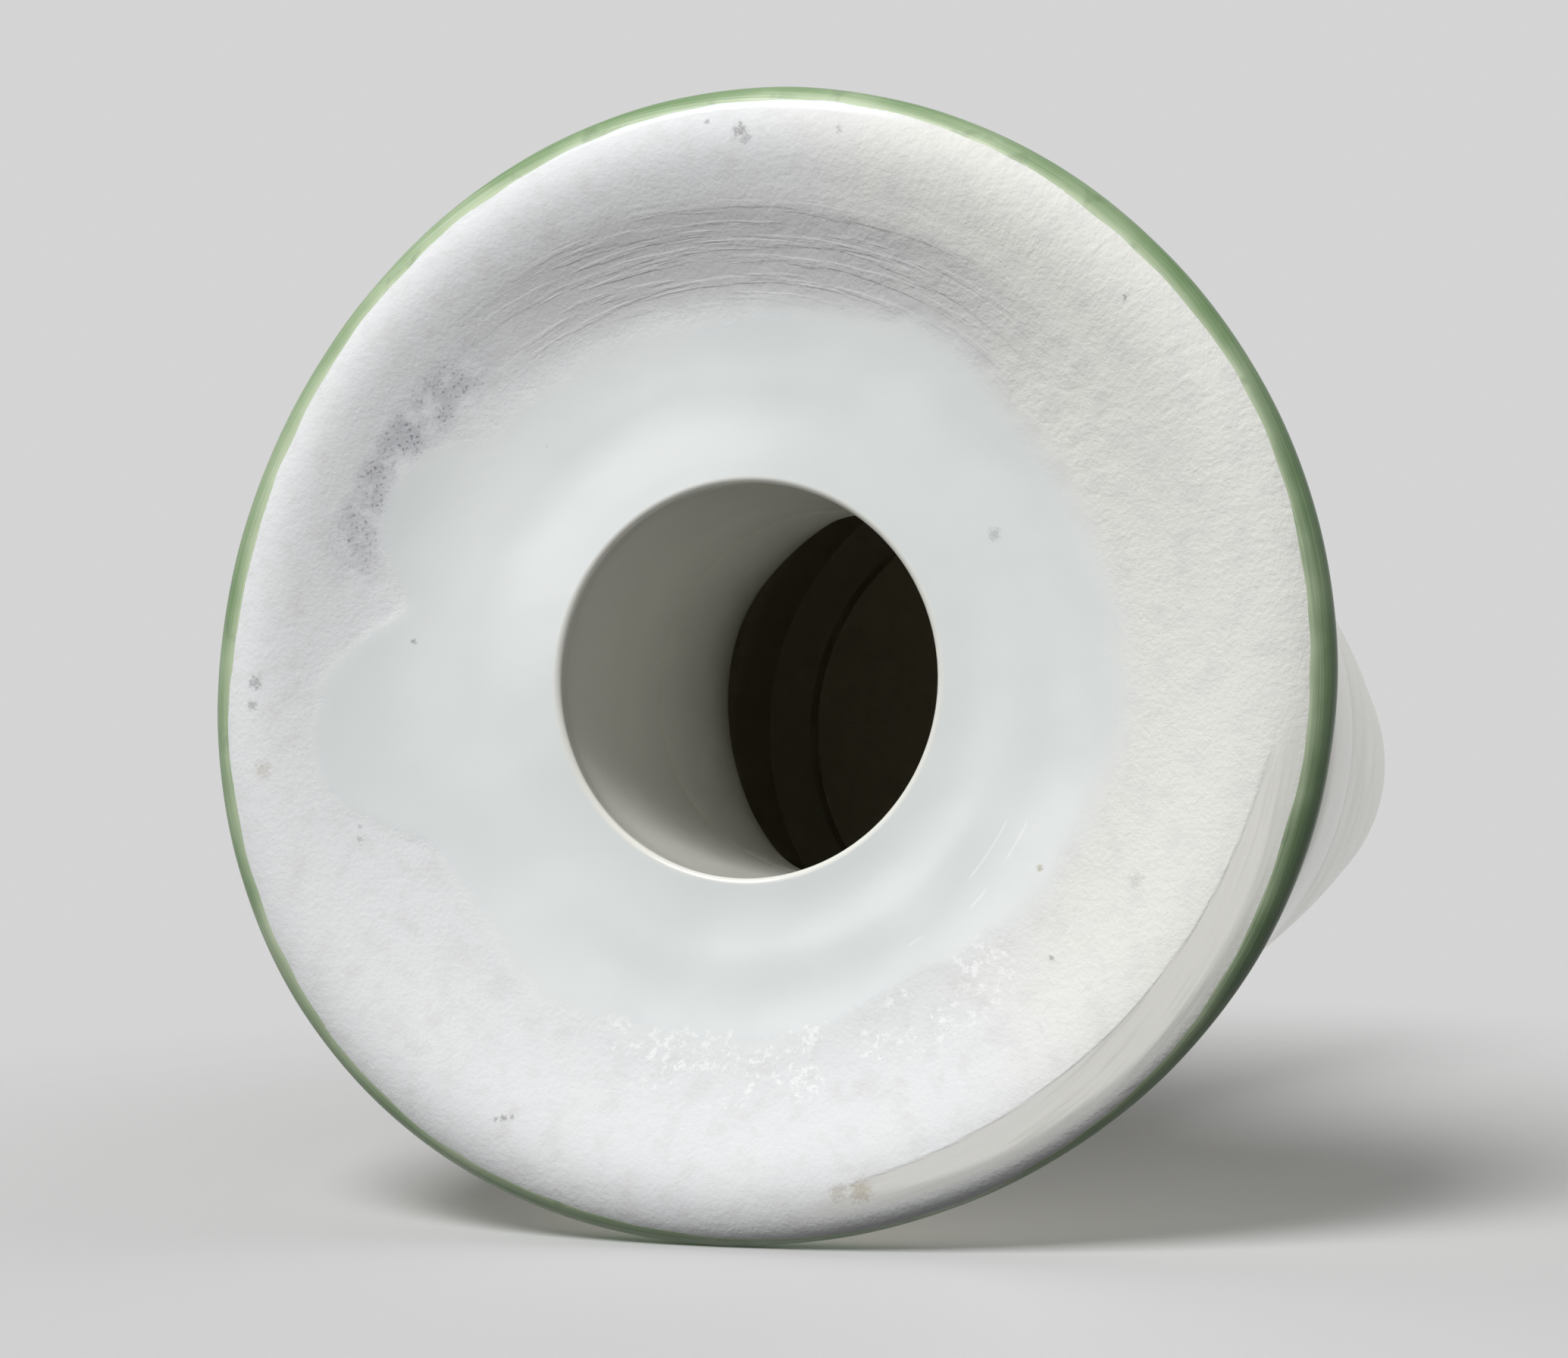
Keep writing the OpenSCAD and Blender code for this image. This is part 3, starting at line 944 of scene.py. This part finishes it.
print(len(grey_marks) + len(brown_marks), "marks and", len(ripple_highlights), "ripples on the underside")

# %% [markdown]
# ## Foot porcelain
# The underside carries most of the story. The pool of glaze is a cool, even white with a glossy skin. The
# ring outside it is bare and pebbly, cool on one side and creamy on the other, and streaked along the
# turning in a rough band, which is also painted greyer there as shade on the upper slope. Grey dirt has
# settled in the pores of the steep slope at one place. The ground crescent is smoother and greyer. All this
# could be painted on a texture by hand. Here attributes on the mesh say where glaze and grinding are, and
# Object coordinates place the rest, so the finish follows the shape when that changes.

# %% Foot porcelain nodes
def build_foot_porcelain(material):
    tree = material.node_tree
    here = use(tree, turned_place)
    radius, around, spot = here["Radius"], here["Around"], here["Spot"]
    grain = use(tree, fired_grain, Grain_size=0.34, Seed=1.0)
    skin = use(tree, glaze_skin, Swell_size=6.0, Pin_spacing=7.0)
    streaks = use(tree, turning_streaks, Fineness=1.7, Length=3.0)
    glaze, ground, outside, bored = (
        attribute(tree, name) for name in ("glaze", "ground", "outside", "bore"))

    def zone(inner, outer, *window):
        """Part of the underside between two soft radii and near an angle."""
        between = times(tree, fade(tree, radius, *inner), fade(tree, radius, *outer))
        return times(tree, between, turn_window(tree, around, *window))

    ragged = calc(tree, "ADD", glaze, times(tree, calc(tree, "SUBTRACT", grain["Relief"], 0.5), 0.7))
    gloss, tone = fade(tree, ragged, 0.1, 0.9), fade(tree, ragged, -0.1, 1.1)
    bare = rest_of(tree, gloss)
    edge = times(tree, glaze, rest_of(tree, glaze), 4.0)
    mottle = noisy(tree, spot, 0.55, Detail=3.0)

    # Bare ring, from cool to cream across the foot, painted greyer in the rough band as shade on the upper
    # slope, and greyer where it was ground
    side = calc(tree, "MULTIPLY_ADD", grain["Cloud"], 0.3, turn_window(tree, around, 345, 45, 40))
    side = fade(tree, side, 0.1, 1.0)
    rough_band_shade = zone((25.0, 28.0), (34.0, 31.5), 274, 28, 24)
    scratch = fade(tree, streaks["Streak"], 0.50, 0.66)
    worn = layered(tree, paint(234, 233, 227), (0.5, scratch, paint(204, 203, 196)))
    ring = layered(tree, blend(tree, side, paint(240, 241, 242), paint(243, 243, 237)),
                   (0.36, fade(tree, mottle, 0.45, 0.75), paint(222, 220, 221)),
                   (0.16, grain["Fleck"], paint(212, 209, 204)),
                   (0.9, rough_band_shade, paint(206, 205, 206)),
                   (0.85, ground, worn))

    # Grey dirt in the pores of the slope at one place
    slope = times(tree, zone((27.2, 29.0), (32.0, 30.4), 213, 15, 7), fade(tree, mottle, 0.30, 0.60))
    bent = place(tree, "ShaderNodeTexNoise", Vector=spot, Scale=2.5, Detail=2.0).outputs["Color"]
    bent = vector(tree, "MULTIPLY_ADD", bent, (0.5, 0.5, 0.5), spot)
    pores = place(tree, "ShaderNodeTexVoronoi", Vector=bent, Scale=3.4)
    chance = place(tree, "ShaderNodeSeparateColor", Color=pores.outputs["Color"]).outputs["Red"]
    dots = times(tree, fade(tree, pores.outputs["Distance"], 0.52, 0.22), fade(tree, chance, 0.15, 0.75))
    dirt = times(tree, slope, calc(tree, "MULTIPLY_ADD", dots, 0.55, 0.30))
    ring = blend(tree, dirt, ring, paint(122, 122, 140))

    # Glaze pool, flushed at its edge, and the creamier glaze outside
    cream = blend(tree, skin["Pooling"], paint(236, 234, 221), paint(231, 229, 214))
    pool = layered(tree, paint(239, 243, 242),
                   (0.8, skin["Pooling"], paint(230, 236, 235)),
                   (0.2, edge, paint(241, 237, 241)),
                   (1.0, outside, cream),
                   (1.0, bored, paint(238, 238, 231)),
                   (0.4, skin["Pinhole"], paint(140, 136, 128)))

    # Painted glints along the pool's lower edge, painted highlights on ripple crests of the pool, and the
    # marks
    glint_specks = fade(tree, noisy(tree, spot, 1.5, Detail=5.0, Roughness=0.72), 0.535, 0.585)
    glint_clusters = fade(tree, noisy(tree, spot, 0.32, Detail=2.0), 0.42, 0.52)
    glint_zone = fade(tree, zone((23.8, 25.6), (31.5, 26.5), 76, 26, 18), 0.1, 0.6)
    painted_crystal_glints = times(tree, glint_specks, glint_clusters, glint_zone)
    painted_highlights = strongest(tree, [painted_crystal_glints, times(tree, painted_ripple_mask(tree, here), 0.8)])
    colour = layered(tree, blend(tree, tone, ring, pool),
                     (1.0, painted_highlights, paint(254, 255, 255)),
                     (1.0, mark_mask(tree, spot, grey_marks), paint(104, 102, 105)),
                     (1.0, mark_mask(tree, spot, brown_marks), paint(166, 146, 104)))

    # Gloss on the pool, none on the ring, and a dull sheen on the ground crescent
    rough = calc(tree, "SUBTRACT", 0.86, times(tree, ground, 0.34))
    rough = calc(tree, "MULTIPLY_ADD", gloss, calc(tree, "SUBTRACT", 0.19, rough), rough)

    # Relief: streaks in the rough band, ridges at one part of the rim, crumbs, pebbles, swell on the pool
    lines = times(tree, fade(tree, streaks["Streak"], 0.48, 0.60), rough_band_shade)
    ridged = times(tree, fade(tree, radius, 33.0, 35.5), turn_window(tree, around, 322, 26, 14))
    crumbs = times(tree, mottle, zone((24.5, 27.0), (34.5, 32.0), 303, 26, 18))
    pebbles = times(tree, grain["Relief"], calc(tree, "MULTIPLY_ADD", side, 0.3, 0.7), rest_of(tree, ground))
    surface(material, colour, rough,
            (0.026, times(tree, lines, bare)),
            (0.05, times(tree, streaks["Radial brush"], ridged, bare)),
            (0.14, times(tree, crumbs, bare)),
            (0.10, times(tree, pebbles, bare)),
            (0.10, times(tree, skin["Relief"], gloss)),
            (0.02, times(tree, streaks["Streak"], ground)))

build_foot_porcelain(finishes["foot_porcelain"])

# %% [markdown]
# ## Cream glaze
# The outside of the body wears a thin warm glaze. It pools a shade deeper here and there, has rare brown
# pinholes and swells slowly like still water. A coat layer on the shader could stand for the glaze, but it
# is clear over white porcelain, so one gloss surface with a low roughness looks the same and is simpler.

# %% Cream glaze nodes
def cream_colour(tree, skin, grain):
    return layered(tree, paint(236, 234, 221),
                   (1.0, skin["Pooling"], paint(230, 228, 212)),
                   (0.6, skin["Pinhole"], paint(104, 96, 82)),
                   (0.12, grain["Cloud"], paint(214, 214, 200)))


def build_cream_glaze(material):
    tree = material.node_tree
    skin = use(tree, glaze_skin, Swell_size=9.0, Pin_spacing=9.0)
    grain = use(tree, fired_grain, Grain_size=0.5, Seed=4.0)
    streaks = use(tree, turning_streaks, Fineness=0.35, Length=1.5)
    swell = calc(tree, "ADD", skin["Relief"], times(tree, streaks["Streak"], 0.15))
    rough = calc(tree, "MULTIPLY_ADD", grain["Cloud"], 0.06, 0.14)
    surface(material, cream_colour(tree, skin, grain), rough, (0.10, swell))

build_cream_glaze(finishes["cream_glaze"])

# %% [markdown]
# ## Stem glaze
# Outside, the stem wears the same cream glaze. Inside, the white glaze runs up the bore for a few
# centimetres and then stops, and the hollow above it was left raw and dull. Its colour is raw porcelain made
# warmer and darker as painted shade for the dim hollow, and darker still towards the top. Two materials on
# one mesh would meet in a hard line, so one material fades from glaze to raw with the height.

# %% Stem glaze nodes, with the raw hollow inside
def build_stem_glaze(material):
    tree = material.node_tree
    up = use(tree, turned_place)["Height"]
    skin = use(tree, glaze_skin, Swell_size=9.0, Pin_spacing=9.0)
    grain = use(tree, fired_grain, Grain_size=0.5, Seed=4.0)
    inside = attribute(tree, "inside")
    wavering = calc(tree, "MULTIPLY_ADD", grain["Cloud"], 6.0, up)
    raw = times(tree, fade(tree, wavering, 62.0, 68.0), inside)
    bore = blend(tree, grain["Cloud"], paint(239, 239, 232), paint(235, 235, 227))
    # The raw hollow: warmer and darker than bare porcelain, and darker again towards its top, as painted
    # shade
    hollow = layered(tree, paint(214, 205, 184),
                     (1.0, grain["Relief"], paint(204, 195, 172)),
                     (0.6, fade(tree, up, 84.0, 90.0), paint(168, 158, 134)))
    colour = layered(tree, cream_colour(tree, skin, grain), (1.0, inside, bore), (1.0, raw, hollow))
    rough = calc(tree, "MULTIPLY_ADD", raw, 0.75, calc(tree, "MULTIPLY_ADD", inside, 0.2, 0.11))
    surface(material, colour, rough, (0.10, skin["Relief"]))

build_stem_glaze(finishes["stem_glaze"])

# %% [markdown]
# ## Green enamel
# The line is a soft sage green. Where the film is thin the porcelain shines through and the green turns
# pale and yellowish, and where the brush left more of it the green is deep. On the side turned away from
# the lamp the green is painted deeper still, as shade. Fine strokes follow the turn. A clear film over
# white would be true to life but slow and noisy to render, so the thickness that the mesh stores blends a
# pale and a deep green instead.

# %% Green enamel nodes
def build_green_enamel(material):
    tree = material.node_tree
    streaks = use(tree, turning_streaks, Fineness=5.0, Length=3.0)
    grain = use(tree, fired_grain, Grain_size=0.6, Seed=7.0)
    load = calc(tree, "ADD", times(tree, attribute(tree, "film"), 0.55), times(tree, streaks["Streak"], 0.5))
    load = fade(tree, calc(tree, "MULTIPLY_ADD", grain["Cloud"], 0.25, load), 0.2, 1.05)
    # A deeper green on the side turned away from the lamp is painted shade
    shaded_side = turn_window(tree, use(tree, turned_place)["Around"], 30, 45, 28)
    colour = layered(tree, paint(204, 218, 186),
                     (1.0, load, paint(104, 140, 86)),
                     (0.7, times(tree, load, shaded_side), paint(62, 92, 54)),
                     (0.3, grain["Fleck"], paint(92, 116, 82)))
    rough = calc(tree, "SUBTRACT", 0.42, times(tree, load, 0.14))
    surface(material, colour, rough, (0.03, streaks["Streak"]))

build_green_enamel(finishes["green_enamel"])

# %% [markdown]
# ## Bare porcelain and slip
# The floor of the well and the slip in the joints are fired without glaze: matt, slightly warm and pebbly.
# The floor's underside is painted darker and browner, as shade in the dim hollow. Two trees would be nearly
# alike, so one function makes both finishes and is told their colours, their seed and where that shade
# starts.

# %% Bare porcelain and slip nodes
def build_matt(material, light, dark, seed, shaded_below=0.0):
    tree = material.node_tree
    grain = use(tree, fired_grain, Grain_size=0.4, Seed=seed)
    # Below the given height the colour turns darker and browner: painted shade in the dim hollow
    painted_shade_under = fade(tree, use(tree, turned_place)["Height"], shaded_below + 0.5, shaded_below)
    colour = layered(tree, light,
                     (1.0, grain["Cloud"], dark),
                     (0.3, grain["Fleck"], paint(190, 184, 172)),
                     (0.9, painted_shade_under, paint(210, 197, 170)))
    rough = calc(tree, "MULTIPLY_ADD", grain["Relief"], 0.2, 0.68)
    surface(material, colour, rough, (0.05, grain["Relief"]))

build_matt(finishes["bare_porcelain"], paint(232, 228, 218), paint(222, 217, 205), seed=11.0,
           shaded_below=floor_low + 1)
build_matt(finishes["luting_slip"], paint(230, 227, 212), paint(222, 218, 202), seed=13.0)

# %% [markdown]
# ## Two floors for two ways of looking
# In the photograph's view the vase lies on a table that touches its foot and its belly. In the other views
# it stands. Both floors are plain and pale, each one is clear from behind, and each one thins out away from
# the vase, so it ends in the pale wall without a line. In the views from the table's side, the table is a
# pale card behind the upright vase.

# %% Floors
lean = math.radians(4.3)  # how far the lying vase's axis tips from the level
table_up = Vector((0.0, -math.cos(lean), -math.sin(lean)))
sideways, deep = Vector((1, 0, 0)), Vector((0, -math.sin(lean), math.cos(lean)))
lowest = min(float((points_of(piece.data) @ np.array(table_up)).min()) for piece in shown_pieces())


def floor_finish(name, colour, thins_out):
    material = bpy.data.materials.new(name)
    material.use_nodes = True
    tree = material.node_tree
    tree.nodes.clear()
    matt = place(tree, "ShaderNodeBsdfDiffuse", Color=colour)
    clear = place(tree, "ShaderNodeBsdfTransparent")
    hidden = place(tree, "ShaderNodeNewGeometry").outputs["Backfacing"]
    spot = place(tree, "ShaderNodeTexCoord").outputs["Object"]
    far = vector(tree, "LENGTH", spot, gives="Value")
    hidden = calc(tree, "MAXIMUM", hidden, fade(tree, far, *thins_out))
    mixed = place(tree, "ShaderNodeMixShader")
    plug_all(tree, mixed.inputs, (hidden, matt.outputs[0], clear.outputs[0]))
    place(tree, "ShaderNodeOutputMaterial", Surface=mixed.outputs[0])
    return material


def corners(wide, near, far):
    return (-wide, near), (wide, near), (wide, far), (-wide, far)


def plain_floor(name, points, colour, thins_out, in_gloss):
    """A floor of four points that is seen by the camera, and in the gloss where that is asked for."""
    mesh = bpy.data.meshes.new(name)
    mesh.from_pydata(points, [], [(0, 1, 2, 3)])
    mesh.materials.append(floor_finish(name, colour, thins_out))
    made = bpy.data.objects.new(name, mesh)
    bpy.context.scene.collection.objects.link(made)
    made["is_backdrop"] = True
    made.visible_shadow = made.visible_diffuse = made.visible_transmission = False
    made.visible_glossy = in_gloss
    return made

table = plain_floor(
    "table", [table_up * lowest * MM + sideways * x + deep * z for x, z in corners(0.2, -0.06, 0.2)],
    (0.62, 0.62, 0.62, 1), thins_out=(0.06, 0.15), in_gloss=True)
standing = plain_floor(
    "standing_floor", [Vector((x, y, -0.00005)) for x, y in corners(4, -4, 4)],
    (0.8, 0.8, 0.8, 1), thins_out=(0.3, 1.2), in_gloss=False)
print("table faces", [round(v, 2) for v in table.data.polygons[0].normal],
      "floor faces", [round(v, 2) for v in standing.data.polygons[0].normal])

# %% [markdown]
# ## Soft studio light
# One soft lamp hangs above and in front of the foot, as in the photograph, where the upper slope of the
# dish is in shade and the lower slope is bright. A small, weak window to its left is mirrored in the lower
# half of the glaze pool and beside the lip, and a broad card behind it lifts the whole underside a little.
# Two more lamps serve the standing views: one over the vase, which is so large that its mirror image is left
# out, and one behind it. The world fills in gently, a little stronger from the lamp's side. To the camera
# and in the gloss the world is a plain pale wall.

# %% Lamps and world
def lamp(name, direction, distance, brightness, size):
    """A square lamp that gives a facing white card that brightness."""
    data = bpy.data.lights.new(name, "AREA")
    data.shape = "SQUARE"
    data.size = size
    data.energy = brightness * math.pi ** 2 * distance ** 2
    made = bpy.data.objects.new(name, data)
    bpy.context.scene.collection.objects.link(made)
    made.location = Vector(direction).normalized() * distance
    made.rotation_euler = Vector(direction).to_track_quat("Z", "Y").to_euler()
    made.visible_camera = False
    return made

lamp("front_lamp", (-0.20, -0.74, -0.64), 0.7, 0.95, 0.30)
lamp("window", (-0.38, -0.17, -0.91), 0.6, 0.03, 0.10)
lamp("front_card", (-0.30, -0.25, -0.92), 0.8, 0.05, 0.60)
lamp("top_lamp", (0.35, -0.22, 0.91), 1.6, 0.60, 1.20).visible_glossy = False
lamp("back_lamp", (-0.30, 0.62, 0.72), 1.3, 0.42, 0.90)

world = bpy.data.worlds.new("studio")
bpy.context.scene.world = world
world.use_nodes = True
sky = world.node_tree
sky.nodes.clear()
way = place(sky, "ShaderNodeSeparateXYZ", Vector=place(sky, "ShaderNodeTexCoord").outputs["Generated"])
fill = calc(sky, "MULTIPLY_ADD", way.outputs["Y"], -0.12, 0.13)
ray = place(sky, "ShaderNodeLightPath")
seen = strongest(sky, [ray.outputs[f"Is {kind} Ray"] for kind in ("Camera", "Glossy", "Transmission")])
strength = calc(sky, "ADD", times(sky, fill, rest_of(sky, seen)), times(sky, seen, 0.66))
glow = place(sky, "ShaderNodeBackground", Color=(1, 1, 1, 1), Strength=strength)
place(sky, "ShaderNodeOutputWorld", Surface=glow.outputs[0])
